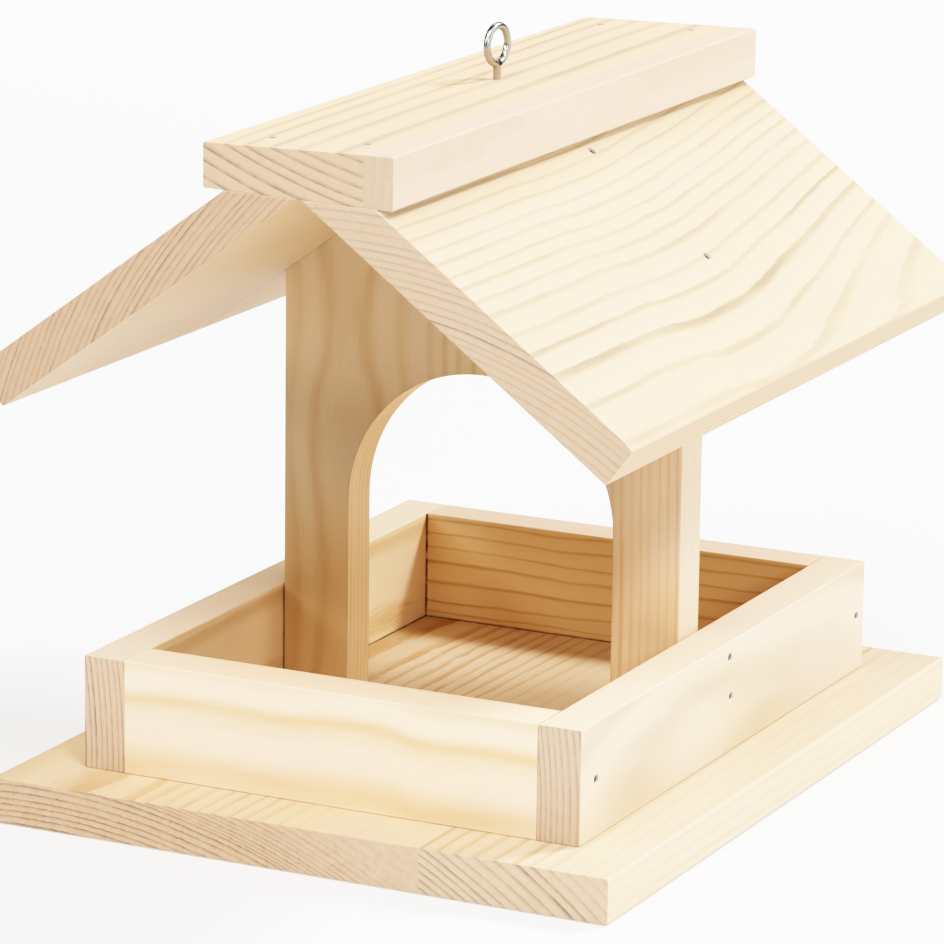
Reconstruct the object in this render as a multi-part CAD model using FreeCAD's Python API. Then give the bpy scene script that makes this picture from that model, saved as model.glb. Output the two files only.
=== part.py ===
import FreeCAD, Part
import math
import os

# Small gabled bird table of planed pine boards, nailed together, with a
# screw eye in the ridge cap to hang it from.
# Frame: millimetres. Origin on the underside of the base board, at the centre
# of the object's outer box. +X runs along the front rail to the right, +Y runs
# back along the ridge, +Z is up. The ridge cap and the roof are parallel to Y.

V = FreeCAD.Vector

# ------------------------------------------------------------ driving sizes
T = 15.0                    # planed thickness of the ordinary boards

base_w = 220.0              # base board, across the grain (X)
base_d = 280.0              # base board, along the grain (Y)
base_glue_x = 45.0          # edge-glue line between the base's two staves

tray_w = 178.0              # outside of the side rails
tray_d = 232.0              # length of the side rails
rail_h = 38.0               # height of all four rails
front_rail_t = 17.0         # the front rail is a little thicker stock
back_rail_t = T

arch_w = 147.0              # arch panel: 0.5 mm play to each side rail
arch_t = 16.0
arch_half_w = 49.0          # half the width of the opening, and its radius
arch_spring_z = 85.0        # height where the round head begins

pitch = 36.5                # roof pitch, degrees
ridge_z = 215.5             # height of the roof undersides where they stop at the ridge
ridge_half_gap = 1.2        # and their distance from the centre there
roof_slope = 130.0          # underside of a roof panel, ridge to eaves
roof_y0, roof_y1 = -138.0, 138.5
eaves_roll = 4.5            # the sander rolls off the upper eaves arris
eaves_drop = 0.5

cap_w = 66.0
# the cap is planed to a slight wedge, 14.5 thick at its left edge and 16.9 at
# its right: heights of its faces over the centre line, and their rise per mm
cap_low, cap_low_rise = 215.55, -0.018
cap_top, cap_top_rise = 231.25, 0.0197
cap_y0, cap_y1 = -138.0, 139.5
cap_glue_x = 22.7           # edge-glue line of the narrow stave

arris = 0.6                 # eased long arrises
arris_end = 0.35            # eased arrises of sawn ends
arris_base = 1.1            # the base board is eased more

nail_r = 0.7                # shank 1.4 mm
nail_head_r = 1.5           # head 3.0 mm
nail_head_t = 0.8
nail_sink = 0.7             # heads driven under the surface
nail_l = 28.0               # head face to tip
cap_nail_l = 24.0
nail_tip = 2.2

eye_x, eye_y = -1.9, 5.0
eye_wire_r = 1.25
eye_ring_r = 6.25           # wire centreline
eye_foot_z = 231.5          # a little above the cap, so the shank shows
eye_ring_up = 11.25         # centre of the ring above its foot
eye_yaw = 83.9              # the ring's plane, degrees from +X: nearly along the ridge
eye_neck = 72.0             # how far the neck bends before it joins the ring
eye_end = 12.0              # the free end stops this far short of the bottom
eye_land_r = 5.05           # the bending mandrel leaves a narrow flat land inside
eye_depth = 18.0            # length of the threaded part in the wood
thread_core_r = 0.95
thread_crest_r = 1.28
thread_pitch = 1.6

th = math.radians(pitch)
ct, st, tt = math.cos(th), math.sin(th), math.tan(th)


def cap_under_z(x):
    return cap_low + cap_low_rise * x


def cap_top_z(x):
    return cap_top + cap_top_rise * x


def ridge_cut(side, rise):
    """Where a roof plane, rise above the underside plane, meets the leaning underside of the cap."""
    r = (ridge_z + ridge_half_gap * tt + rise - cap_low) / (tt + side * cap_low_rise)
    return (side * r, cap_under_z(side * r))


# ------------------------------------------------------------------ helpers
def clean(shape):
    """One solid, or a compound of solids, with no leftover seams."""
    s = shape.removeSplitter()
    sol = s.Solids
    if len(sol) == 1:
        return sol[0]
    return Part.makeCompound(sol)


def edges_along(shape, axis):
    """Straight edges parallel to an axis: 0 X, 1 Y, 2 Z."""
    out = []
    for e in shape.Edges:
        if len(e.Vertexes) != 2:
            continue
        d = e.Vertexes[1].Point - e.Vertexes[0].Point
        c = [abs(d.x), abs(d.y), abs(d.z)]
        if c[axis] > 1e-6 and sum(c) - c[axis] < 1e-6:
            out.append(e)
    return out


def ease_ends(shape, axis, lo, hi, r):
    """Ease every edge that lies in the two end planes of a board."""
    picked = []
    for e in shape.Edges:
        pts = [p for p in e.discretize(5)]
        for level in (lo, hi):
            if all(abs(p[axis] - level) < 1e-6 for p in pts):
                picked.append(e)
                break
    try:
        s = shape.makeFillet(r, picked)
        if s.isValid() and len(s.Solids) == 1:
            return s
    except Exception:
        pass
    return shape


def board(x0, x1, y0, y1, z0, z1, grain, r=arris, r_end=arris_end):
    """A planed board: long arrises eased along the grain, ends eased less."""
    b = Part.makeBox(x1 - x0, y1 - y0, z1 - z0, V(x0, y0, z0))
    b = b.makeFillet(r, edges_along(b, grain))
    lo, hi = ((x0, x1), (y0, y1), (z0, z1))[grain]
    if r_end:
        b = ease_ends(b, grain, lo, hi, r_end)
    return b


def prism(points, y0, y1):
    """A profile in X and Z drawn out from y0 to y1."""
    w = Part.makePolygon([V(x, y0, z) for x, z in points] + [V(points[0][0], y0, points[0][1])])
    return Part.Face(w).extrude(V(0, y1 - y0, 0))


def nail(head, direction, length):
    """A round-headed nail: its head face is centred on head and it points along direction."""
    d = V(direction)
    d.normalize()
    side = V(0, 0, 1) if abs(d.z) < 0.9 else V(0, 1, 0)
    u = d.cross(side)
    u.normalize()
    e = 0.18                 # softened rim of the head
    prof = [(0, 0), (nail_head_r - e, 0), (nail_head_r, e), (nail_head_r, nail_head_t),
            (nail_r, nail_head_t + 0.35), (nail_r, length - nail_tip), (0.08, length), (0, length)]
    w = Part.makePolygon([head + u * r + d * t for r, t in prof] + [head])
    return Part.Face(w).revolve(head, d, 360)


def nail_room(head, direction, length):
    """The wood that a nail takes away: the nail itself and the dimple over its head."""
    d = V(direction)
    d.normalize()
    n = nail(head, d, length)
    dimple = Part.makeCone(nail_head_r + 0.12, nail_head_r, nail_sink + 0.4, head - d * (nail_sink + 0.4), d)
    return n.fuse(dimple)


# --------------------------------------------------------------- base board
base_all = board(-base_w / 2, base_w / 2, -base_d / 2, base_d / 2, 0, T, 1, arris_base, arris_end)
big = 400.0
left_half = Part.makeBox(big, 2 * big, 2 * big, V(base_glue_x - big, -big, -big))
right_half = Part.makeBox(big, 2 * big, 2 * big, V(base_glue_x, -big, -big))
base_wide = base_all.common(left_half)
base_narrow = base_all.common(right_half)

# -------------------------------------------------------------- tray frame
z0, z1 = T, T + rail_h
xo, xi = tray_w / 2, tray_w / 2 - T
yo = tray_d / 2
right_rail = board(xi, xo, -yo, yo, z0, z1, 1)
left_rail = board(-xo, -xi, -yo, yo, z0, z1, 1)
front_rail = board(-xi, xi, -yo, -yo + front_rail_t, z0, z1, 0, arris, 0)
back_rail = board(-xi, xi, yo - back_rail_t, yo, z0, z1, 0, arris, 0)

# -------------------------------------------------------------- arch panel
# One gable board on edge between the side rails. The roof lies on its two
# slopes and the cap on its blunted point.
ha = arch_w / 2
shoulder_z = ridge_z - (ha - ridge_half_gap) * tt
outline = [(-ha, T), (ha, T), (ha, shoulder_z), ridge_cut(1, 0), ridge_cut(-1, 0), (-ha, shoulder_z)]
arch = prism(outline, -arch_t / 2, arch_t / 2)
opening = Part.makeBox(2 * arch_half_w, 60, arch_spring_z - T + 10, V(-arch_half_w, -30, T - 10))
opening = opening.fuse(Part.makeCylinder(arch_half_w, 60, V(0, -30, arch_spring_z), V(0, 1, 0)))
arch = clean(arch.cut(opening))
# ease the vertical arrises and both rims of the opening
keep = []
for e in arch.Edges:
    pts = e.discretize(7)
    on_face = all(abs(abs(p.y) - arch_t / 2) < 1e-6 for p in pts)
    upright = all(abs(p.x - pts[0].x) < 1e-6 for p in pts) and abs(pts[0].z - pts[-1].z) > 20
    round_head = all(abs(math.hypot(p.x, p.z - arch_spring_z) - arch_half_w) < 1e-4 for p in pts)
    if on_face and (upright or round_head):
        keep.append(e)
arch = arch.makeFillet(0.5, keep)

# -------------------------------------------------------------- roof panels
# The upper end is planed off flush under the cap. The eaves end is cut square
# to the panel, and its upper arris is rolled off.
def roof_profile(side):
    a = ridge_cut(side, 0)
    b = ridge_cut(side, T / ct)
    a, b = (side * a[0], a[1]), (side * b[0], b[1])
    d = (ridge_half_gap + roof_slope * ct, ridge_z - roof_slope * st)
    c = (d[0] + T * st, d[1] + T * ct)
    c1 = (c[0] - eaves_roll * ct, c[1] + eaves_roll * st)
    c2 = (c[0] - eaves_drop * st, c[1] - eaves_drop * ct)
    return [(side * x, z) for x, z in (a, b, c1, c2, d)]


def roof_panel(side):
    p = prism(roof_profile(side), roof_y0, roof_y1)
    low = [e for e in edges_along(p, 1) if e.CenterOfMass.z < ridge_z - 20]
    # the shallow edge of the rolled arris is left as it is
    c1z = roof_profile(side)[2][1]
    low = [e for e in low if abs(e.CenterOfMass.z - c1z) > 0.01]
    p = p.makeFillet(0.8, low)
    return ease_ends(p, 1, roof_y0, roof_y1, 0.4)


right_roof = roof_panel(1)
left_roof = roof_panel(-1)

# --------------------------------------------------------------- ridge cap
ch = cap_w / 2
cap_all = prism([(-ch, cap_under_z(-ch)), (ch, cap_under_z(ch)), (ch, cap_top_z(ch)), (-ch, cap_top_z(-ch))],
                cap_y0, cap_y1)
cap_all = cap_all.makeFillet(0.7, edges_along(cap_all, 1))
cap_all = ease_ends(cap_all, 1, cap_y0, cap_y1, 0.4)
cap_main = cap_all.common(Part.makeBox(big, 2 * big, 2 * big, V(cap_glue_x - big, -big, -big)))
cap_stave = cap_all.common(Part.makeBox(big, 2 * big, 2 * big, V(cap_glue_x, -big, -big)))

# ------------------------------------------------------------------- nails
def spec(points, direction, length=nail_l):
    """Head centres from points on the wood's surface."""
    d = V(*direction)
    d.normalize()
    return [(V(*p) + d * nail_sink, d, length) for p in points]


def on_roof(side, s, y):
    """A point on a roof panel's upper face, s along the underside from the ridge."""
    return (side * (ridge_half_gap + s * ct + T * st), y, ridge_z - s * st + T * ct)


mid_z = T + 19.2
groups = {
    "ridge_cap_nails": spec([(x, y, cap_top_z(x)) for x, y in
                             ((-17.3, -122.5), (15.2, -121.0), (-20.3, 124.9), (13.5, 126.4))],
                            (0, 0, -1), cap_nail_l),
    "right_roof_nails": spec([on_roof(1, 28.5, 5.0), on_roof(1, 80.5, 5.4)], (-st, 0, -ct)),
    "left_roof_nails": spec([on_roof(-1, 29.5, 4.6), on_roof(-1, 79.0, 5.0)], (st, 0, -ct)),
    "right_rail_corner_nails": spec([(xo, -104.5, mid_z), (xo, 109.3, mid_z + 0.5)], (-1, 0, 0)),
    "left_rail_corner_nails": spec([(-xo, -106.0, mid_z - 0.4), (-xo, 108.6, mid_z + 0.2)], (1, 0, 0)),
    "right_rail_arch_nails": spec([(xo, -0.8, 47.6), (xo, 0.8, 33.9)], (-1, 0, 0)),
    "left_rail_arch_nails": spec([(-xo, 0.6, 47.0), (-xo, -0.5, 33.4)], (1, 0, 0)),
    # driven up through the base, out of sight
    "base_rail_nails": spec([(xo - 7.5, -60, 0), (xo - 7.5, 62, 0), (-xo + 7.5, -61, 0), (-xo + 7.5, 60, 0),
                             (-30, -yo + 8.5, 0), (32, -yo + 8.5, 0),
                             (-31, yo - 7.5, 0), (30, yo - 7.5, 0)], (0, 0, 1)),
    "base_arch_nails": spec([(-61.0, 0, 0), (61.5, 0, 0)], (0, 0, 1)),
}

# --------------------------------------------------------------- screw eye
yaw = math.radians(eye_yaw)
dv = V(math.cos(yaw), math.sin(yaw), 0)          # in the ring's plane, level
nv = dv.cross(V(0, 0, 1))                        # across the ring
o = V(eye_x, eye_y, eye_foot_z)


def at(d, z):
    return o + dv * d + V(0, 0, z)


beta = math.radians(eye_neck)
neck_r = eye_ring_r * math.cos(beta) / (1 - math.cos(beta))
neck_z = eye_ring_up - (eye_ring_r + neck_r) * math.sin(beta)
shank = Part.makeCylinder(eye_wire_r, neck_z + 0.8, at(0, -0.8), V(0, 0, 1))
disc = Part.Face(Part.Wire(Part.makeCircle(eye_wire_r, at(0, neck_z), V(0, 0, 1))))
# the neck leans to the front, about an axis in front of the shank
neck = disc.revolve(at(-neck_r, neck_z), nv * -1.0, eye_neck)
if neck.BoundBox.ZMin < o.z + neck_z - 0.5 * neck_r:
    neck = disc.revolve(at(-neck_r, neck_z), nv, eye_neck)
a0 = math.pi + beta
start = at(eye_ring_r * math.cos(a0), eye_ring_up + eye_ring_r * math.sin(a0))
heading = dv * math.sin(a0) + V(0, 0, -math.cos(a0))
disc2 = Part.Face(Part.Wire(Part.makeCircle(eye_wire_r, start, heading)))
sweep = 180 + eye_neck + 90 - eye_end
ring = disc2.revolve(at(0, eye_ring_up), nv, sweep)
# the ring runs from the neck up the front side and over the top
probe = at(eye_ring_r * math.cos(a0 - 0.5), eye_ring_up + eye_ring_r * math.sin(a0 - 0.5))
if not ring.isInside(probe, 0.01, True):
    ring = disc2.revolve(at(0, eye_ring_up), nv * -1.0, sweep)
ring = ring.cut(Part.makeCylinder(eye_land_r, 10, at(0, eye_ring_up) - nv * 5.0, nv))
eye = shank.fuse([neck, ring])
# threaded end with a gimlet point
core_l = eye_depth - 4.0
core = Part.makeCylinder(thread_core_r, core_l, at(0, -core_l - 0.4), V(0, 0, 1))
shoulder = Part.makeCone(thread_core_r, eye_wire_r, 0.5, at(0, -1.3), V(0, 0, 1))
point = Part.makeCone(0.12, thread_core_r, 4.0, at(0, -core_l - 4.4), V(0, 0, 1))
body = eye.fuse([core, shoulder, point])
z_lo = -core_l - 0.2
turns_h = core_l - 1.4
helix = Part.makeHelix(thread_pitch, turns_h, thread_core_r - 0.1)
helix.translate(at(0, z_lo))
px = V(eye_x + thread_core_r - 0.1, eye_y, eye_foot_z + z_lo)
tri = Part.makePolygon([px + V(0, 0, -0.42), px + V(thread_crest_r - thread_core_r + 0.1, 0, 0),
                        px + V(0, 0, 0.42), px + V(0, 0, -0.42)])
screw_eye = None
try:
    sweeper = Part.BRepOffsetAPI.MakePipeShell(Part.Wire(helix.Edges))
    sweeper.setFrenetMode(True)
    sweeper.add(tri)
    sweeper.build()
    sweeper.makeSolid()
    thread = sweeper.shape()
    if thread.Volume < 0:
        thread.reverse()
    cand = body.fuse(thread)
    if cand.isValid() and len(cand.Solids) == 1 and cand.Volume > body.Volume + 1.0:
        screw_eye = cand.Solids[0]
except Exception:
    screw_eye = None
if screw_eye is None:
    screw_eye = body.Solids[0]
# the pilot hole holds the whole thread
eye_hole = Part.makeCylinder(thread_crest_r, core_l + 0.4, at(0, -core_l - 0.4), V(0, 0, 1))
eye_hole = eye_hole.fuse(Part.makeCone(0.4, thread_crest_r, 4.4, at(0, -core_l - 4.8), V(0, 0, 1)))

# ------------------------------------------------------- fasteners cut out
wood = {
    "base_stave_wide": base_wide,
    "base_stave_narrow": base_narrow,
    "front_rail": front_rail,
    "back_rail": back_rail,
    "left_rail": left_rail,
    "right_rail": right_rail,
    "arch_panel": arch,
    "left_roof_panel": left_roof,
    "right_roof_panel": right_roof,
    "ridge_cap_board": cap_main,
    "ridge_cap_stave": cap_stave,
}
tools = [nail_room(*n) for g in groups.values() for n in g] + [eye_hole]
for name in list(wood):
    s = wood[name]
    for t in tools:
        if s.BoundBox.intersect(t.BoundBox):
            if s.common(t).Volume > 1e-6:
                s = s.cut(t)
    wood[name] = clean(s)

nodes = dict(wood)
for g, items in groups.items():
    solids = [nail(*n) for n in items]
    nodes[g] = Part.makeCompound([x.Solids[0] if x.Solids else x for x in solids])
nodes["screw_eye"] = screw_eye

os.makedirs("parts", exist_ok=True)
for name, shape in nodes.items():
    ok = shape.isValid() and len(shape.Solids) >= 1
    print("%-26s solids %d  volume %10.2f  valid %s" % (name, len(shape.Solids), shape.Volume, ok))
    shape.exportStep("parts/%s.step" % name)
everything = Part.makeCompound(list(nodes.values()))
bb = everything.BoundBox
print("box %.2f %.2f %.2f  to  %.2f %.2f %.2f" % (bb.XMin, bb.YMin, bb.ZMin, bb.XMax, bb.YMax, bb.ZMax))
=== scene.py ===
import math

import bpy
from mathutils import Matrix, Vector

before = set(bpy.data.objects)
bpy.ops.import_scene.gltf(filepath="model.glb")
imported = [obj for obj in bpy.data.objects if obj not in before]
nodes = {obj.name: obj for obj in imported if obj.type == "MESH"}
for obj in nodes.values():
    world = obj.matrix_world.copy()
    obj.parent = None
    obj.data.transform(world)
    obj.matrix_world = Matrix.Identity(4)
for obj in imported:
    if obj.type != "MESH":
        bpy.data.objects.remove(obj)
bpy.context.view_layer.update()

scene = bpy.context.scene
MM = 0.001


# ------------------------------------------------------------------ camera
# Solved against the boards' corners; no shift, no depth of field.
cam_pos = Vector((0.758865, -1.563954, 0.535201))
cam_right = Vector((0.896729, 0.442408, 0.012331))
cam_down = Vector((0.118336, -0.212824, -0.969898))
cam_fwd = Vector((-0.426467, 0.871195, -0.243198))
cam_data = bpy.data.cameras.new("camera")
cam_data.sensor_width = 36.0
cam_data.lens = 5370.886 / 944.0 * 36.0
cam_data.clip_start = 0.05
cam_data.clip_end = 60.0
cam = bpy.data.objects.new("camera", cam_data)
scene.collection.objects.link(cam)
m = Matrix.Identity(4)
for i in range(3):
    m[i][0] = cam_right[i]
    m[i][1] = -cam_down[i]
    m[i][2] = -cam_fwd[i]
    m[i][3] = cam_pos[i]
cam.matrix_world = m
scene.camera = cam


# ------------------------------------------------------- node-tree shorthand
class Tree:
    """Small helper that wires shader nodes from Python expressions."""

    def __init__(self, tree):
        self.t = tree
        self.n = tree.nodes
        self.l = tree.links
        self.x = 0

    def new(self, kind, **props):
        n = self.n.new(kind)
        self.x += 40
        n.location = (self.x, -(self.x * 7) % 600)
        for k, v in props.items():
            setattr(n, k, v)
        return n

    def put(self, sock, v):
        if hasattr(v, "is_output"):
            self.l.new(v, sock)
        else:
            sock.default_value = v

    def math(self, op, a, b=None, c=None, clamp=False):
        n = self.new("ShaderNodeMath", operation=op, use_clamp=clamp)
        self.put(n.inputs[0], a)
        if b is not None:
            self.put(n.inputs[1], b)
        if c is not None:
            self.put(n.inputs[2], c)
        return n.outputs[0]

    def add(self, a, b): return self.math("ADD", a, b)
    def sub(self, a, b): return self.math("SUBTRACT", a, b)
    def mul(self, a, b): return self.math("MULTIPLY", a, b)
    def mad(self, a, b, c): return self.math("MULTIPLY_ADD", a, b, c)

    def vmath(self, op, a, b=None, out=0):
        n = self.new("ShaderNodeVectorMath", operation=op)
        self.put(n.inputs[0], a)
        if b is not None:
            self.put(n.inputs[1], b)
        return n.outputs[out]

    def scale(self, v, s):
        n = self.new("ShaderNodeVectorMath", operation="SCALE")
        self.put(n.inputs[0], v)
        self.put(n.inputs["Scale"], s)
        return n.outputs[0]

    def dot(self, a, b):
        n = self.new("ShaderNodeVectorMath", operation="DOT_PRODUCT")
        self.put(n.inputs[0], a)
        self.put(n.inputs[1], b)
        return n.outputs["Value"]

    def xyz(self, x, y, z):
        n = self.new("ShaderNodeCombineXYZ")
        for s, v in zip(n.inputs, (x, y, z)):
            self.put(s, v)
        return n.outputs[0]

    def split(self, v):
        n = self.new("ShaderNodeSeparateXYZ")
        self.put(n.inputs[0], v)
        return n.outputs

    def noise(self, v, scale=1.0, detail=2.0, rough=0.5, dims="3D", w=None, out=0):
        n = self.new("ShaderNodeTexNoise", noise_dimensions=dims)
        if dims != "1D":
            self.put(n.inputs["Vector"], v)
        if w is not None:
            self.put(n.inputs["W"], w)
        self.put(n.inputs["Scale"], scale)
        self.put(n.inputs["Detail"], detail)
        self.put(n.inputs["Roughness"], rough)
        return n.outputs[out]

    def step(self, v, a, b, lo=0.0, hi=1.0, kind="SMOOTHSTEP"):
        n = self.new("ShaderNodeMapRange", interpolation_type=kind, clamp=True)
        for s, x in zip(n.inputs, (v, a, b, lo, hi)):
            self.put(s, x)
        return n.outputs[0]

    def mix(self, f, a, b, kind="RGBA", blend="MIX"):
        n = self.new("ShaderNodeMix", data_type=kind)
        if kind == "RGBA":
            n.blend_type = blend
        ins = {"RGBA": (0, 6, 7, 2), "FLOAT": (0, 2, 3, 0), "VECTOR": (0, 4, 5, 1)}[kind]
        self.put(n.inputs[ins[0]], f)
        self.put(n.inputs[ins[1]], a)
        self.put(n.inputs[ins[2]], b)
        return n.outputs[ins[3]]


def lin(r, g, b):
    """An 8-bit sRGB colour as linear RGBA."""
    def f(c):
        c /= 255.0
        return c / 12.92 if c <= 0.04045 else ((c + 0.055) / 1.055) ** 2.4
    return (f(r), f(g), f(b), 1.0)


# --------------------------------------------------------------------- pine
def curve(T, v, pts, smooth=False):
    """v mapped through the points (x, y), straight or smooth between them, level beyond them."""
    xs, ys = [p[0] for p in pts], [p[1] for p in pts]
    x0, x1, y0, y1 = xs[0], xs[-1], min(ys), max(ys)
    if y1 - y0 < 1e-9:
        y1 = y0 + 1.0
    n = T.new("ShaderNodeFloatCurve")
    c = n.mapping.curves[0]
    while len(c.points) < len(pts):
        c.points.new(0.5, 0.5)
    for p, x, y in zip(c.points, xs, ys):
        p.location = ((x - x0) / (x1 - x0), (y - y0) / (y1 - y0))
        p.handle_type = "AUTO_CLAMPED" if smooth else "VECTOR"
    n.mapping.update()
    T.put(n.inputs["Value"], T.step(v, x0, x1, kind="LINEAR"))
    return T.mad(n.outputs[0], y1 - y0, y0)


def socket(tree, name, kind, v=None, out=False):
    s = tree.interface.new_socket(name=name, in_out="OUTPUT" if out else "INPUT", socket_type=kind)
    if v is not None:
        s.default_value = v


def radius_group():
    """Distance in mm from the pith. Long waves and short ripples bend the ring surfaces, both stretched along the log."""
    g = bpy.data.node_groups.new("radius", "ShaderNodeTree")
    socket(g, "Log", "NodeSocketVector")
    socket(g, "Seed", "NodeSocketFloat", 0.0)
    socket(g, "Wave", "NodeSocketFloat", 2.0)
    socket(g, "Ripple", "NodeSocketFloat", 0.5)
    socket(g, "Fuzz", "NodeSocketFloat", 0.35)
    socket(g, "R", "NodeSocketFloat", out=True)
    socket(g, "P", "NodeSocketVector", out=True)
    T = Tree(g)
    gi, go = T.new("NodeGroupInput"), T.new("NodeGroupOutput")
    L, seed = gi.outputs["Log"], gi.outputs["Seed"]
    P = T.vmath("ADD", L, T.xyz(T.mul(seed, 17.3), T.mul(seed, -9.1), T.mul(seed, 31.7)))
    w1 = T.noise(T.vmath("MULTIPLY", P, (0.012, 0.012, 0.006)), 1.0, 1.0, 0.4, out=1)
    w2 = T.noise(T.vmath("MULTIPLY", P, (0.07, 0.07, 0.022)), 1.0, 2.0, 0.5, out=1)
    d1 = T.scale(T.vmath("SUBTRACT", w1, (0.5, 0.5, 0.5)), T.mul(gi.outputs["Wave"], 2.0))
    d2 = T.scale(T.vmath("SUBTRACT", w2, (0.5, 0.5, 0.5)), T.mul(gi.outputs["Ripple"], 2.0))
    x, y, z = T.split(T.vmath("ADD", T.vmath("ADD", L, d1), d2))
    r = T.math("SQRT", T.add(T.mul(x, x), T.mul(y, y)))
    fz = T.noise(T.vmath("MULTIPLY", P, (0.9, 0.9, 0.06)), 1.0, 3.0, 0.65)
    T.put(go.inputs["R"], T.mad(T.sub(fz, 0.5), T.mul(gi.outputs["Fuzz"], 2.0), r))
    T.put(go.inputs["P"], P)
    return g


def pine_group():
    """Colour of the wood at ring number S (the fraction is the time of year), so that face, edge and end grain belong
    together. P is the position in mm in the log's own axes, End is 1 on end grain and 0 along the grain."""
    g = bpy.data.node_groups.new("pine", "ShaderNodeTree")
    socket(g, "P", "NodeSocketVector")
    socket(g, "Polar", "NodeSocketVector")
    socket(g, "S", "NodeSocketFloat", 0.0)
    socket(g, "Dark", "NodeSocketFloat", 1.0)
    socket(g, "End", "NodeSocketFloat", 0.0)
    socket(g, "Seed", "NodeSocketFloat", 0.0)
    socket(g, "Contrast", "NodeSocketFloat", 0.6)
    socket(g, "Width", "NodeSocketFloat", 0.45)
    socket(g, "EndContrast", "NodeSocketFloat", 0.8)
    socket(g, "Soft", "NodeSocketFloat", 0.04)
    socket(g, "Rough cut", "NodeSocketFloat", 1.0)
    socket(g, "Tone", "NodeSocketColor", (1.0, 1.0, 1.0, 1.0))
    socket(g, "Early", "NodeSocketColor", (0.875, 0.635, 0.390, 1.0))
    socket(g, "Late", "NodeSocketColor", (0.58, 0.33, 0.14, 1.0))
    socket(g, "EndEarly", "NodeSocketColor", (0.735, 0.505, 0.335, 1.0))
    socket(g, "EndLate", "NodeSocketColor", (0.37, 0.25, 0.17, 1.0))
    for n, k in (("Color", "NodeSocketColor"), ("Height", "NodeSocketFloat"), ("Rough", "NodeSocketFloat")):
        socket(g, n, k, out=True)
    T = Tree(g)
    gi, go = T.new("NodeGroupInput"), T.new("NodeGroupOutput")
    P, end, seed, s = gi.outputs["P"], gi.outputs["End"], gi.outputs["Seed"], gi.outputs["S"]
    ring = T.math("FLOOR", s)
    f = T.sub(s, ring)
    wn = T.new("ShaderNodeTexWhiteNoise", noise_dimensions="1D")
    T.put(wn.inputs["W"], T.add(ring, T.mul(seed, 7.0)))
    wid = T.mul(gi.outputs["Width"], T.mad(wn.outputs["Value"], 0.5, 0.75))
    # along the grain the latewood is a band that darkens quickly and holds its tone to the year's end, where it stops
    # more or less sharply; on end grain it is a thin line that darkens towards the year's end
    soft, a0 = gi.outputs["Soft"], T.sub(0.97, wid)
    rise = T.mul(T.step(f, a0, T.mad(wid, -0.35, 0.97)), T.step(f, a0, 1.0, 0.75, 1.0, kind="LINEAR"))
    stop = T.math("MAXIMUM", T.mul(rise, T.step(f, T.sub(1.0, soft), 1.0, 1.0, 0.5)), T.step(f, 0.0, soft, 0.5, 0.0))
    thin = T.mul(T.math("POWER", T.step(f, a0, 0.97, kind="LINEAR"), 1.3), T.step(f, 0.96, 1.0, 0.88, 0.3))
    thin = T.math("MAXIMUM", thin, T.step(f, 0.0, 0.10, 0.30, 0.0))
    band = T.mul(T.step(f, 0.2, 0.97), 0.16)
    # each ring fades in and out along the grain
    fade = T.step(T.noise(T.vmath("MULTIPLY", P, (0.10, 0.10, 0.016)), 1.0, 2.0, 0.5), 0.32, 0.60, 0.6, 1.0)
    late_f = T.mul(T.mul(T.mul(T.add(stop, band), gi.outputs["Dark"]), fade), gi.outputs["Contrast"])
    fadee = T.step(T.noise(T.vmath("MULTIPLY", P, (0.16, 0.16, 0.05)), 1.0, 2.0, 0.6), 0.3, 0.62, 0.55, 1.0)
    late_e = T.mul(T.mul(T.mul(T.add(thin, T.mul(band, 0.6)), gi.outputs["Dark"]), fadee), gi.outputs["EndContrast"])
    face = T.mix(late_f, gi.outputs["Early"], gi.outputs["Late"])
    endc = T.mix(late_e, gi.outputs["EndEarly"], gi.outputs["EndLate"])
    # fibres and short resin canals along the grain
    fib = T.noise(T.vmath("MULTIPLY", P, (2.2, 2.2, 0.05)), 1.0, 3.0, 0.6)
    fib2 = T.noise(T.vmath("MULTIPLY", P, (6.0, 6.0, 0.2)), 1.0, 2.0, 0.5)
    can = T.step(T.noise(T.vmath("MULTIPLY", P, (1.7, 1.7, 0.09)), 1.0, 1.0, 0.5), 0.70, 0.80)
    # slow changes of tone, and of hue between straw and pink
    tone = T.noise(T.vmath("MULTIPLY", P, (0.03, 0.03, 0.007)), 1.0, 2.0, 0.5)
    hue = T.noise(T.vmath("MULTIPLY", P, (0.045, 0.045, 0.012)), 1.0, 1.0, 0.5)
    v = T.add(T.mad(T.sub(fib, 0.5), 0.11, 1.0), T.mul(T.sub(fib2, 0.5), 0.05))
    v = T.add(v, T.mul(T.sub(tone, 0.5), 0.12))
    v = T.sub(v, T.mul(can, 0.07))
    h = T.mul(T.sub(hue, 0.5), 0.10)
    face = T.mix(1.0, face, T.xyz(T.mad(h, 0.15, v), v, T.sub(v, T.mul(h, 1.6))), blend="MULTIPLY")
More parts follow.
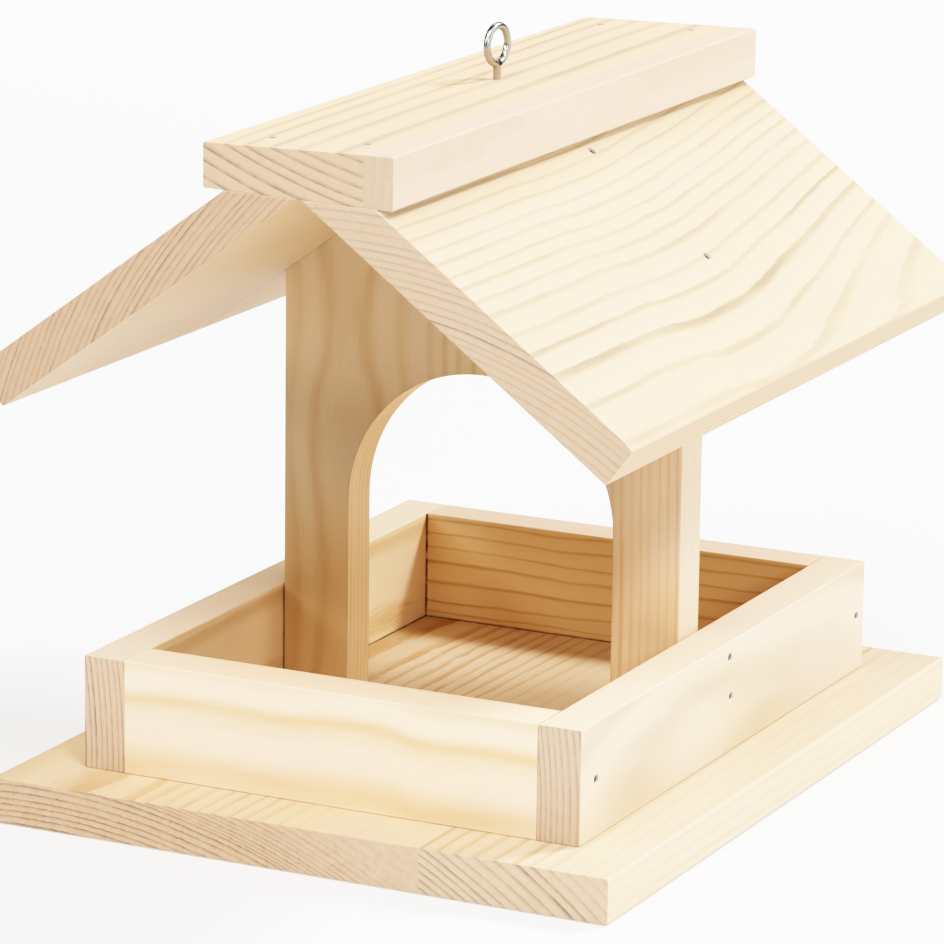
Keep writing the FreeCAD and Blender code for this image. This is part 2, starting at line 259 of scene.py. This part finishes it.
    # end grain: cut fibre ends, faint rays, saw fuzz and a few pits
    px, py, pz = T.split(gi.outputs["Polar"])
    ray = T.noise(T.xyz(T.mul(px, 330.0), T.mul(py, 0.3), 0.0), 1.0, 2.0, 0.5)
    spk = T.noise(T.vmath("MULTIPLY", P, (2.6, 2.6, 0.6)), 1.0, 3.0, 0.65)
    mot = T.noise(T.vmath("MULTIPLY", P, (0.4, 0.4, 0.1)), 1.0, 2.0, 0.5)
    pit = T.step(T.noise(T.vmath("MULTIPLY", P, (1.1, 1.1, 0.3)), 1.0, 1.0, 0.5), 0.72, 0.80)
    cut = gi.outputs["Rough cut"]
    e = T.mul(T.add(T.mul(T.sub(spk, 0.5), 0.20), T.sub(T.mul(T.sub(mot, 0.5), 0.12), T.mul(pit, 0.14))), cut)
    e = T.add(T.mad(T.sub(ray, 0.5), 0.08, 1.0), e)
    endc = T.mix(1.0, endc, T.xyz(e, e, T.mad(T.sub(mot, 0.5), 0.08, e)), blend="MULTIPLY")
    T.put(go.inputs["Color"], T.mix(1.0, T.mix(end, face, endc), gi.outputs["Tone"], blend="MULTIPLY"))
    hf = T.add(T.mul(late_f, 0.35), T.mul(fib, 0.6))
    he = T.add(T.mul(spk, 1.6), T.mul(late_e, 0.6))
    T.put(go.inputs["Height"], T.mix(end, hf, he, kind="FLOAT"))
    T.put(go.inputs["Rough"], T.mad(end, 0.20, T.mad(late_f, -0.12, 0.60)))
    return g


RADIUS, PINE = radius_group(), pine_group()
PALETTE = {"Early": (0.875, 0.635, 0.390), "Late": (0.58, 0.33, 0.14),
           "EndEarly": (0.735, 0.505, 0.335), "EndLate": (0.37, 0.25, 0.17)}


def pine(name, grain, u, v, pith, rings=None, dark=None, spacing=2.5, vary=0.4, bend=None, seed=0.0,
         tint=(1.0, 1.0, 1.0), etint=(1.0, 1.0, 1.0), tones=(), opening_painted_light=None, seams=(), pits=None, worn=1.0, tray=None,
         plain=(), **kw):
    """A pine board's material. grain, u and v are the row-frame directions of the log's length and of two directions
    across it; pith is a point on the pith line in mm. rings lists the radii in mm where a year ends and dark how dark
    each is; beyond the list rings follow at the given spacing. bend lists (along the grain, u shift, v shift) in mm.
    tint and etint are the board's own hue along the grain and on its ends. tones lists (direction, first and last
    position in mm, colour factor at the last, direction the face looks or nothing for all faces along the grain) for
    wood that changes across or along the board and for painted light and painted shade on parts of its faces,
    opening_painted_light is a factor of painted light on the inner faces of a curved opening, seams lists (direction,
    position in mm, direction the face looks, half width in mm, strength) for the dark line where another board is
    nailed on, pits is (two directions, places along them in mm) of the nail holes, whose walls get painted light,
    worn is how much of the figure's strength is left on the part of a base board outside the tray and tray the colour
    factor inside it, a painted shade, and plain lists (direction the face looks, how much figure it shows, position
    from which it does or nothing)."""
    mat = bpy.data.materials.new(name)
    mat.use_nodes = True
    T = Tree(mat.node_tree)
    T.n.clear()
    out = T.new("ShaderNodeOutputMaterial")
    bsdf = T.new("ShaderNodeBsdfPrincipled")
    T.l.new(bsdf.outputs[0], out.inputs[0])
    co = T.new("ShaderNodeTexCoord")
    p = T.vmath("SUBTRACT", T.scale(co.outputs["Object"], 1000.0), tuple(pith))
    w, x, y = T.dot(p, tuple(grain)), T.dot(p, tuple(u)), T.dot(p, tuple(v))
    if bend:
        x = T.sub(x, curve(T, w, [(q[0], q[1]) for q in bend], True))
        if any(q[2] for q in bend):
            y = T.sub(y, curve(T, w, [(q[0], q[2]) for q in bend], True))
    rg = T.new("ShaderNodeGroup")
    rg.node_tree = RADIUS
    T.put(rg.inputs["Log"], T.xyz(x, y, w))
    rg.inputs["Seed"].default_value = seed
    for k in ("Wave", "Ripple", "Fuzz"):
        if k in kw:
            rg.inputs[k].default_value = kw.pop(k)
    R = rg.outputs["R"]
    if rings:
        s = curve(T, R, [(r, float(i)) for i, r in enumerate(rings)])
        inside = T.math("MINIMUM", T.math("MAXIMUM", R, rings[0]), rings[-1])
        s = T.add(s, T.math("DIVIDE", T.sub(R, inside), spacing))
    else:
        s0 = T.math("DIVIDE", R, spacing)
        yr = T.noise(None, 0.5, 1.0, 0.5, dims="1D", w=T.add(s0, seed * 3.7))
        s = T.mad(T.sub(yr, 0.5), vary * 2.2, s0)
    gn = T.new("ShaderNodeGroup")
    gn.node_tree = PINE
    T.put(gn.inputs["P"], rg.outputs["P"])
    T.put(gn.inputs["Polar"], T.xyz(T.math("ARCTAN2", y, x), R, 0.0))
    T.put(gn.inputs["S"], T.add(s, 0.0))
    if dark:
        dk = curve(T, T.math("CEIL", s), [(float(i), d) for i, d in enumerate(dark)])
    else:
        wn = T.new("ShaderNodeTexWhiteNoise", noise_dimensions="1D")
        T.put(wn.inputs["W"], T.mad(T.math("FLOOR", s), 1.37, seed * 5.0))
        dk = T.mad(wn.outputs["Value"], 0.5, 0.5)
    nd = T.math("ABSOLUTE", T.dot(co.outputs["Normal"], tuple(grain)))
    T.put(gn.inputs["End"], T.step(nd, 0.55, 0.9))
    along = T.step(nd, 0.9, 0.55)
    where = T.scale(co.outputs["Object"], 1000.0)
    away = None
    if worn < 1.0:
        ox, oy, oz = T.split(where)
        ax, ay = T.step(T.math("ABSOLUTE", ox), 86.0, 90.0), T.step(T.math("ABSOLUTE", oy), 112.0, 117.0)
        away = T.math("MAXIMUM", ax, ay)
        k = T.math("MAXIMUM", ax, T.mul(ay, 0.4))
        under = T.step(T.dot(co.outputs["Normal"], (0.0, 0.0, -1.0)), 0.8, 0.6)
        dk = T.mul(dk, T.mad(T.mul(T.mul(k, along), under), worn - 1.0, 1.0))
    for look, much, *past in plain:
        k = T.step(T.dot(co.outputs["Normal"], look), 0.6, 0.8)
        if past:
            k = T.mul(k, T.step(T.dot(where, look), past[0] - 1.0, past[0]))
        dk = T.mul(dk, T.mad(k, much - 1.0, 1.0))
    T.put(gn.inputs["Dark"], dk)
    gn.inputs["Seed"].default_value = seed
    for k, c in PALETTE.items():
        c = kw.pop(k, c)
        f = etint if k.startswith("End") else tint
        gn.inputs[k].default_value = tuple(c[i] * f[i] for i in range(3)) + (1.0,)
    for k, val in kw.items():
        gn.inputs[k].default_value = val
    c = None
    for d, a, b, col, *look in tones:
        face = T.step(T.dot(co.outputs["Normal"], look[0]), 0.6, 0.8) if look else along
        k = T.mul(T.step(T.dot(where, tuple(d)), a, b), face)
        c = T.mix(k, c or (1.0, 1.0, 1.0, 1.0), tuple(col) + (1.0,), blend="MULTIPLY")
    # painted shade: the upward faces of the base inside the rails are darkened by the tray factor, standing in for the
    # shade on the tray floor
    if tray:
        k = T.mul(T.sub(1.0, away), T.step(T.dot(co.outputs["Normal"], (0.0, 0.0, 1.0)), 0.6, 0.8))
        c = T.mix(k, c or (1.0, 1.0, 1.0, 1.0), tuple(tray) + (1.0,), blend="MULTIPLY")
    # painted light: the walls of the nail holes are brightened and made bluer, standing in for light falling on them
    if pits:
        k = None
        for pu, pv in pits[2]:
            a, b = T.sub(T.dot(where, pits[0]), pu), T.sub(T.dot(where, pits[1]), pv)
            q = T.step(T.math("SQRT", T.add(T.mul(a, a), T.mul(b, b))), 1.62, 1.585)
            k = q if k is None else T.math("MAXIMUM", k, q)
        c = T.mix(k, c or (1.0, 1.0, 1.0, 1.0), (1.10, 1.35, 1.75, 1.0), blend="MULTIPLY")
    # painted light: the inner faces of the curved opening are brightened as if lit from the front right
    if opening_painted_light:
        nx, ny, nz = T.split(co.outputs["Normal"])
        ox, oy, oz = T.split(where)
        inner = T.mul(T.step(T.math("ABSOLUTE", ox), 50.6, 50.2), T.step(oz, 135.5, 135.0))
        k = T.mul(T.step(T.math("ABSOLUTE", ny), 0.5, 0.3), inner)
        c = T.mix(k, c or (1.0, 1.0, 1.0, 1.0), tuple(opening_painted_light) + (1.0,), blend="MULTIPLY")
    if seams:
        rag = T.noise(T.scale(where, 0.35), 1.0, 2.0, 0.6)
        for d, at, look, half, much in seams:
            off = T.math("ABSOLUTE", T.sub(T.dot(where, tuple(d)), at))
            k = T.mul(T.step(off, T.mad(rag, half * 2.0, half * 0.6), half * 0.3),
                      T.step(T.dot(co.outputs["Normal"], tuple(look)), 0.6, 0.8))
            k = T.mul(k, T.step(rag, 0.25, 0.60, 0.35 * much, much))
            if away is not None:
                k = T.mul(k, T.sub(1.0, away))
            c = T.mix(k, c or (1.0, 1.0, 1.0, 1.0), (0.22, 0.13, 0.07, 1.0), blend="MULTIPLY")
    if c is not None:
        T.put(gn.inputs["Tone"], c)
    T.put(bsdf.inputs["Base Color"], gn.outputs["Color"])
    T.put(bsdf.inputs["Roughness"], gn.outputs["Rough"])
    bsdf.inputs["Specular IOR Level"].default_value = 0.3
    bump = T.new("ShaderNodeBump")
    bump.inputs["Strength"].default_value = 0.25
    bump.inputs["Distance"].default_value = 0.00012
    T.put(bump.inputs["Height"], gn.outputs["Height"])
    T.l.new(bump.outputs[0], bsdf.inputs["Normal"])
    return mat


def metal(name, color, rough, wear=0.08, grain=0.15, rim=1.0):
    mat = bpy.data.materials.new(name)
    mat.use_nodes = True
    T = Tree(mat.node_tree)
    T.n.clear()
    out = T.new("ShaderNodeOutputMaterial")
    bsdf = T.new("ShaderNodeBsdfPrincipled")
    T.l.new(bsdf.outputs[0], out.inputs[0])
    co = T.new("ShaderNodeTexCoord")
    p = T.scale(co.outputs["Object"], 1000.0)
    n = T.noise(p, 1.6, 3.0, 0.6)
    c = T.mix(n, tuple(0.82 * k for k in color[:3]) + (1.0,), color)
    T.put(bsdf.inputs["Base Color"], c)
    bsdf.inputs["Metallic"].default_value = 1.0
    bsdf.inputs["Specular Tint"].default_value = (rim, rim, rim, 1.0)
    T.put(bsdf.inputs["Roughness"], T.mad(T.sub(n, 0.5), wear, rough))
    bump = T.new("ShaderNodeBump")
    bump.inputs["Strength"].default_value = grain
    bump.inputs["Distance"].default_value = 0.00005
    T.put(bump.inputs["Height"], T.noise(p, 4.0, 2.0, 0.5))
    T.l.new(bump.outputs[0], bsdf.inputs["Normal"])
    return mat


X, Y, Z = (1.0, 0.0, 0.0), (0.0, 1.0, 0.0), (0.0, 0.0, 1.0)
th = math.radians(36.5)
ct, st = math.cos(th), math.sin(th)
slopeR, normR = (ct, 0.0, -st), (st, 0.0, ct)
slopeL, normL = (-ct, 0.0, -st), (-st, 0.0, ct)


def roof_pith(side, s, depth):
    """A point s along the slope and depth below a roof panel's upper face."""
    x = 1.2 + s * ct + (15.0 - depth) * st
    z = 215.5 - s * st + (15.0 - depth) * ct
    return (side * x, 0.0, z)


def on_face(du, ps):
    """Radii of rings that a face at distance du from the pith cuts at the offsets ps."""
    return [math.hypot(du, p) for p in ps]


wide_rings = [225.0, 227.3, 229.2, 231.3, 233.2, 235.6, 238.0] + on_face(
    239.0, [x + 93.0 for x in (-70, -55.5, -49, -43, -37, -31, -26, -20, -15, -9.5, -3, 3, 9, 16, 24, 32, 40, 48)])
wide_dark = [0.9, 0.9, 0.95, 0.9, 0.9, 0.95, 0.9, 1.0, 0.9, 0.8, 0.8, 0.85, 0.8, 0.8, 0.75, 0.7, 0.6, 0.5,
             0.3, 0.22, 0.16, 0.12, 0.10, 0.08, 0.06]
narrow_rings = [251.2, 253.5, 255.9, 258.2, 260.5, 262.8] + on_face(
    233.0, [x + 80.0 for x in (46.5, 52, 58, 65, 71.5, 79, 84, 90, 96, 102, 108)])
narrow_dark = [0.9, 0.9, 0.9, 0.95, 0.9, 0.9, 0.9, 0.8, 0.7, 0.6, 0.65, 1.0, 0.85, 0.5, 0.35, 0.3, 0.25]
roofR_rings = [165.2, 167.9, 170.6, 173.2, 175.8, 178.2] + on_face(
    180.0, [137.5 - s for s in (126, 110, 96, 86, 78, 69, 63, 57, 52, 46, 41, 35, 29.5, 24, 18.5, 13, 8, 3, -2)])
roofR_dark = [0.5, 0.5, 0.5, 0.5, 0.5, 0.5, 0.5, 0.62, 1.0, 0.8, 0.5, 0.6, 0.5, 0.55, 0.5, 0.55, 0.45, 0.5,
              0.45, 0.5, 0.45, 0.5, 0.45, 0.5, 0.45]
cap_rings = [198.5, 202.0, 205.6, 209.7, 214.0, 217.5, 221.3, 224.2, 228.7, 232.6, 237.2, 242.2]
cap_dark = [0.5, 0.6, 0.65, 0.9, 0.75, 0.85, 0.9, 1.0, 1.0, 1.0, 1.0, 1.0]
front_rings = [156.4, 159.1, 161.8, 164.35, 171.4, 175.0]
back_rings = on_face(90.0, [z + 20.0 for z in (11.5, 15.2, 18.5, 23, 29.5, 36.5, 41.5, 47, 52, 58)])
railR_rings = [191.5, 193.5, 195.4, 197.0, 199.0, 200.9, 203.1, 205.5, 208.0, 210.2, 212.4]


def shade(c, k):
    return tuple(a * b for a, b in zip(c, k))


early, end_early = PALETTE["Early"], PALETTE["EndEarly"]
dull = shade(early, (0.50, 0.52, 0.56))             # latewood of the roof and cap, bleached of its amber
up, front, down = Z, (0.0, -1.0, 0.0), tuple(-k for k in normL)
boards = {
    "base_stave_wide": pine(
        "pine_base_wide", Y, X, Z, (-93.0, 0.0, -224.0), wide_rings, wide_dark, 3.0, seed=1.0,
        bend=[(-140, 0, 0), (-60, 1, 0), (20, 3, 0.3), (80, 3.5, 0.4), (140, 5, 0.8)],
        # the tray factor is painted shade on the tray floor
        tint=(0.80, 0.77, 0.80), etint=(0.70, 0.66, 0.64), worn=0.45, tray=(0.83, 0.86, 0.87),
        tones=[(X, -20.0, 40.0, (1.03, 1.07, 1.13), front)],
        seams=[(X, -73.8, up, 0.35, 0.9), (Y, 100.8, up, 0.35, 0.9)],
        Wave=0.8, Ripple=0.32, Fuzz=0.5, Contrast=0.80, Width=0.42, EndContrast=1.0,
        EndLate=shade(end_early, (0.28, 0.30, 0.32)), **{"Rough cut": 2.4}),
    "base_stave_narrow": pine(
        "pine_base_narrow", Y, X, Z, (-80.0, 0.0, -218.0), narrow_rings, narrow_dark, 3.6, seed=2.0,
        # the tray factor is painted shade on the tray floor
        tint=(0.73, 0.735, 0.80), etint=(0.70, 0.655, 0.68), worn=0.8, tray=(0.86, 0.91, 0.95),
        # the tone on faces looking +X is painted light: the base's right side face is brightened
        tones=[(X, 100.0, 108.0, (1.14, 1.15, 1.13), X)], seams=[(Y, 100.8, up, 0.35, 0.9)],
        Wave=1.0, Ripple=0.3, Contrast=0.75, Width=0.42, EndContrast=1.0,
        EndEarly=lin(228, 202, 166), EndLate=shade(end_early, (0.32, 0.37, 0.42)), **{"Rough cut": 1.5}),
    "front_rail": pine(
        "pine_front_rail", X, Y, Z, (0.0, 44.0, 75.0), front_rings, [0.8, 0.8, 0.9, 1.0, 0.9, 0.9], 3.0, seed=3.0,
        bend=[(-74, 0, 0.3), (-49, 0, 1.2), (-24, 0, 0.8), (1, 0, 2.6), (14, 0, 3.0), (26, 0, 1.8), (39, 0, 0.2),
              (51, 0, 0.8), (74, 0, 0.2)],
        tint=(1.03, 1.025, 1.175), Late=shade(early, (0.70, 0.59, 0.36)), plain=[(up, 0.4)],
        # the tone at the bottom arris is painted light, lightening the shaded crease where the rail meets the base
        tones=[(Z, 15.9, 15.4, (1.1, 1.2, 1.35))],
        Wave=0.35, Ripple=0.12, Fuzz=0.12, Contrast=0.68, Width=0.62, Soft=0.24),
    "back_rail": pine(
        "pine_back_rail", X, Y, Z, (0.0, 11.0, -20.0), back_rings, [0.7, 0.7, 0.8, 1.0, 0.9, 1.0, 0.85, 0.8, 0.8, 0.8],
        3.0, seed=4.0, tint=(0.85, 0.81, 0.76), plain=[(up, 0.4)],
        # painted light: the paler, bluer top face, and the brightened left part of the inner face where light falls in
        # from the left
        tones=[(Z, 52.0, 52.6, (0.97, 1.03, 1.28), up), (X, -38.0, -62.0, (1.10, 1.18, 1.26), front)], seams=[(X, -73.8, front, 0.35, 0.9)],
        Wave=1.0, Ripple=0.9, Fuzz=0.3, Contrast=0.74, Width=0.21, Soft=0.06),
    "left_rail": pine(
        "pine_left_rail", Y, X, Z, (-282.0, 0.0, 22.0), None, None, 2.0, 0.2, seed=5.0,
        tint=(0.855, 0.87, 0.915), etint=(0.765, 0.76, 0.79), plain=[(up, 0.25)],
        # painted light: the top face is paler and bluer than the rest of the rail
        tones=[(Z, 52.0, 52.6, (1.02, 1.07, 1.20), up)], seams=[(Y, 100.8, X, 0.35, 0.9)],
        pits=(Y, Z, [(-106.0, 33.8), (108.6, 34.4), (0.6, 47.0), (-0.5, 33.4)]),
        Wave=0.6, Ripple=0.2, Fuzz=0.15, Contrast=0.65, EndContrast=1.0, EndLate=shade(end_early, (0.25, 0.35, 0.43))),
    "right_rail": pine(
        "pine_right_rail", Y, X, Z, (-119.0, 0.0, 24.0), railR_rings, [0.8] * 11, 2.2, seed=6.0,
        bend=[(-116, -0.6, 0), (-93.5, 0, 0), (-82, 0.28, 0), (-49, 0.84, 0.5), (-23, 1.13, 1), (1, 0.84, 1.5),
              (34, 0.45, 2), (67, 0.11, 3.5), (86, 0, 4), (116, -0.5, 4)],
        # the tone at the bottom arris is painted light, lightening the shaded crease where the rail meets the base
        tones=[(Z, 15.9, 15.4, (1.1, 1.2, 1.35))], tint=(0.85, 0.88, 1.02), etint=(0.73, 0.75, 0.80), Late=shade(early, (0.62, 0.58, 0.45)), plain=[(up, 0.3)],
        pits=(Y, Z, [(-104.5, 34.2), (109.3, 34.7), (-0.8, 47.6), (0.8, 33.9)]),
        Wave=0.25, Ripple=0.08, Fuzz=0.06, Contrast=0.66, Width=0.5, Soft=0.25, EndContrast=1.0,
        EndLate=shade(end_early, (0.43, 0.55, 0.63))),
    "arch_panel": pine(
        "pine_arch", Z, X, Y, (-49.0, 60.0, 0.0), None, None, 2.8, 0.25,
        bend=[(15, 0, 0.2), (60, 0, 1.0), (110, -1, 0.4), (150, 0, 1.3), (190, 1, 0.5), (216, 2, 1.2)], seed=7.0,
        # the opening factor is painted light on the inner faces of the arch opening
        tint=(0.67, 0.685, 0.745), opening_painted_light=(1.49, 1.46, 1.36), plain=[(X, 0.25, 70.0)],
        # painted light and shade: the brighter right leg and its pale lower right corner where light comes in under
        # the right eave, the slightly darker right side face, the darker top of the front under the roof, and the
        # warmer lower front standing in for light bounced from the tray
        tones=[(X, 35.0, 60.0, (1.31, 1.28, 1.33)), (X, 62.0, 70.0, (0.935, 0.975, 0.98), X),
               (Z, 138.0, 112.0, (0.845, 0.83, 0.79), front), (Z, 100.0, 60.0, (1.04, 0.92, 0.76), front),
               ((1.0, 0.0, -1.0), -30.0, 0.0, (1.36, 1.50, 1.74), front)],
        Wave=1.0, Ripple=0.5, Fuzz=0.2, Contrast=0.52, Width=0.40, Soft=0.2),
    "left_roof_panel": pine(
        "pine_left_roof", Y, slopeL, normL, roof_pith(-1, -21.0, 222.0), None, None, 2.0, 0.3, seed=8.0,
        # the tone on the underside is painted light: paler and bluer towards the eave, where light from the floor
        # falls on it
        tint=(0.70, 0.695, 0.73), etint=(0.595, 0.555, 0.545), tones=[(slopeL, -85.0, -30.0, (1.1, 1.19, 1.32), down)],
        pits=(slopeL, Y, [(-97.72, 4.6), (-48.22, 5.0)]),
        seams=[(Y, -8.2, down, 0.32, 0.85)], plain=[(down, 0.3)],
        Wave=2.2, Ripple=0.4, Fuzz=0.2, Contrast=0.30, EndContrast=1.0, Width=0.42,
        EndLate=shade(end_early, (0.36, 0.42, 0.48)), **{"Rough cut": 1.4}),
    "right_roof_panel": pine(
        "pine_right_roof", Y, slopeR, normR, roof_pith(1, 137.5, 180.0), roofR_rings, roofR_dark, 2.7, seed=9.0,
        bend=[(-137, 0, 0), (-101, 0.26, 0), (-61, 0.17, -0.05), (-31, 0.7, -0.38), (0, 0.35, -0.19),
              (39, -1.04, 0.76), (69, -2.1, 1.6), (99, -3.5, 2.7), (139, -5.3, 4.0)],
        tint=(0.752, 0.712, 0.732), etint=(0.65, 0.65, 0.665), Late=shade(early, (0.50, 0.52, 0.47)),
        # painted shade and light on the top face beside the cap: darker towards the cap, then a brightened strip under
        # the cap's overhang
        tones=[(X, 46.0, 33.0, (0.85, 0.86, 0.82), normR), (X, 31.4, 30.0, (1.2, 1.4, 1.6), normR)], pits=(slopeR, Y, [(-98.72, 5.0), (-46.72, 5.4)]),
        Wave=0.35, Ripple=0.25, Fuzz=0.2, Contrast=0.95, Width=0.30, EndContrast=1.0,
        EndLate=shade(end_early, (0.32, 0.39, 0.46))),
    "ridge_cap_board": pine(
        "pine_cap", Y, X, Z, (69.6, 0.0, 433.5), cap_rings, cap_dark, 4.4, seed=10.0,
        bend=[(-138, 0, 0), (-100, -1, 0), (0, -2.2, 0), (139, -3.5, 0)],
        tint=(0.815, 0.75, 0.77), etint=(0.67, 0.655, 0.655), Late=dull,
        # the tone on the underside is painted light: the shaded underside of the cap is brightened and made bluer
        tones=[(Z, 216.6, 216.2, (1.2, 1.4, 1.8), (0.0, 0.0, -1.0))],
        pits=(X, Y, [(-17.3, -122.5), (15.2, -121.0), (-20.3, 124.9), (13.5, 126.4)]),
        Wave=0.5, Ripple=0.25, Fuzz=0.15, Contrast=0.62, Width=0.30, EndContrast=1.0,
        EndLate=shade(end_early, (0.36, 0.41, 0.46))),
    "ridge_cap_stave": pine(
        "pine_cap_stave", Y, X, Z, (-60.0, 0.0, 230.0), None, None, 3.0, 0.4, seed=11.0,
        # the tone on the underside is painted light: the shaded underside of the stave is brightened and made bluer
        tint=(0.735, 0.715, 0.865), etint=(0.605, 0.585, 0.615), tones=[(Z, 216.6, 216.2, (1.2, 1.4, 1.8), (0.0, 0.0, -1.0))],
        Wave=1.0, Contrast=0.25, EndContrast=0.25, EndEarly=lin(226, 198, 162)),
}
# painted shade: the nails' steel is very dark, with a dim edge reflection, standing in for the shade on the sunk heads
nail_mat = metal("nail_steel", (0.105, 0.105, 0.098, 1.0), 0.38, rim=0.2)
eye_mat = metal("zinc_plate", (0.42, 0.42, 0.385, 1.0), 0.29, 0.04, 0.04)


def paint(obj, mat):
    obj.data.materials.clear()
    obj.data.materials.append(mat)
    for p in obj.data.polygons:
        p.material_index = 0


for n, o in nodes.items():
    if n in boards:
        paint(o, boards[n])
    elif n == "screw_eye":
        paint(o, eye_mat)
    else:
        paint(o, nail_mat)

# -------------------------------------------------------------------- stage
fm = bpy.data.materials.new("floor_white")
fm.use_nodes = True
fb = fm.node_tree.nodes["Principled BSDF"]
fb.inputs["Base Color"].default_value = (0.62, 0.62, 0.62, 1.0)
fb.inputs["Roughness"].default_value = 0.9
fb.inputs["Specular IOR Level"].default_value = 0.1
fb.inputs["Emission Color"].default_value = (1.0, 1.0, 1.0, 1.0)
fb.inputs["Emission Strength"].default_value = 0.62
me = bpy.data.meshes.new("floor")
S = 9.0
me.from_pydata([(-S, -S, -0.0004), (S, -S, -0.0004), (S, S, -0.0004), (-S, S, -0.0004)], [], [(0, 1, 2, 3)])
floor = bpy.data.objects.new("floor", me)
me.materials.append(fm)
scene.collection.objects.link(floor)

world = bpy.data.worlds.new("studio")
world.use_nodes = True
bg = world.node_tree.nodes["Background"]
bg.inputs["Color"].default_value = (1.0, 1.0, 1.0, 1.0)
bg.inputs["Strength"].default_value = 0.12
scene.world = world


def softbox(name, az, el, size, power, color=(1.0, 1.0, 1.0), target=(0.0, 0.0, 0.1), dist=2.0, spread=180.0):
    """A square softbox aimed at target; az is measured from the front towards the right, el above the floor."""
    a, e = math.radians(az), math.radians(el)
    d = Vector((math.sin(a) * math.cos(e), -math.cos(a) * math.cos(e), math.sin(e)))
    data = bpy.data.lights.new(name, "AREA")
    data.shape = "SQUARE"
    data.size = size
    data.energy = power
    data.color = color
    data.spread = math.radians(spread)
    o = bpy.data.objects.new(name, data)
    o.location = Vector(target) + d * dist
    o.rotation_euler = (-d).to_track_quat("-Z", "Y").to_euler()
    scene.collection.objects.link(o)
    return o


softbox("key_back_right", 140, 45, 0.38, 69.6)
softbox("front", 0, 45, 0.70, 35.1)
softbox("right_high", 45, 60, 0.50, 27.0)
softbox("front_left", -45, 55, 0.50, 10.7)
softbox("front_left_low", -40, 25, 0.60, 15.2)
softbox("front_right_low", 45, 20, 0.60, 16.8)
softbox("right_side", 90, 50, 0.50, 6.9)
softbox("right_low", 90, 10, 0.80, 6.0)
softbox("back_right_low", 115, 15, 0.80, 11.0)
# one wide box washes the floor behind the table
softbox("wash_back", 0, 90, 2.4, 135.0, target=(-1.6, 2.6, 0.0), dist=2.2, spread=110.0)

vs = scene.view_settings
vs.view_transform = "Standard"
vs.look = "None"
vs.exposure = 0.0
vs.gamma = 1.0
# a camera's tone curve: a short toe, straight to the knee, then a soft roll-off to white
vs.use_curve_mapping = True
cm = vs.curve_mapping
top, knee, toe = 4.0, 0.266, 0.369
cm.black_level = (0.0, 0.0, 0.0)
cm.white_level = (top, top, top)
cm.extend = "HORIZONTAL"


def tone_curve(x):
    y = x if x < knee else knee + (1.0 - knee) * (1.0 - math.exp((knee - x) / (1.0 - knee)))
    return min(1.0, y * y / (y + toe) * (1.0 + toe) * 1.0045)


pts = [(x, tone_curve(x)) for x in (0.0, 0.03, 0.07, 0.12, 0.18, 0.24, 0.30, 0.38, 0.47, 0.58, 0.70, 0.84, 1.0, 1.18, 1.4,
                                    1.65, 1.95, 2.3, 2.7, 3.3, top)]
cc = cm.curves[3]
while len(cc.points) < len(pts):
    cc.points.new(0.5, 0.5)
for p, (x, y) in zip(cc.points, pts):
    p.location = (x / top, y)
    p.handle_type = "VECTOR"
cm.update()
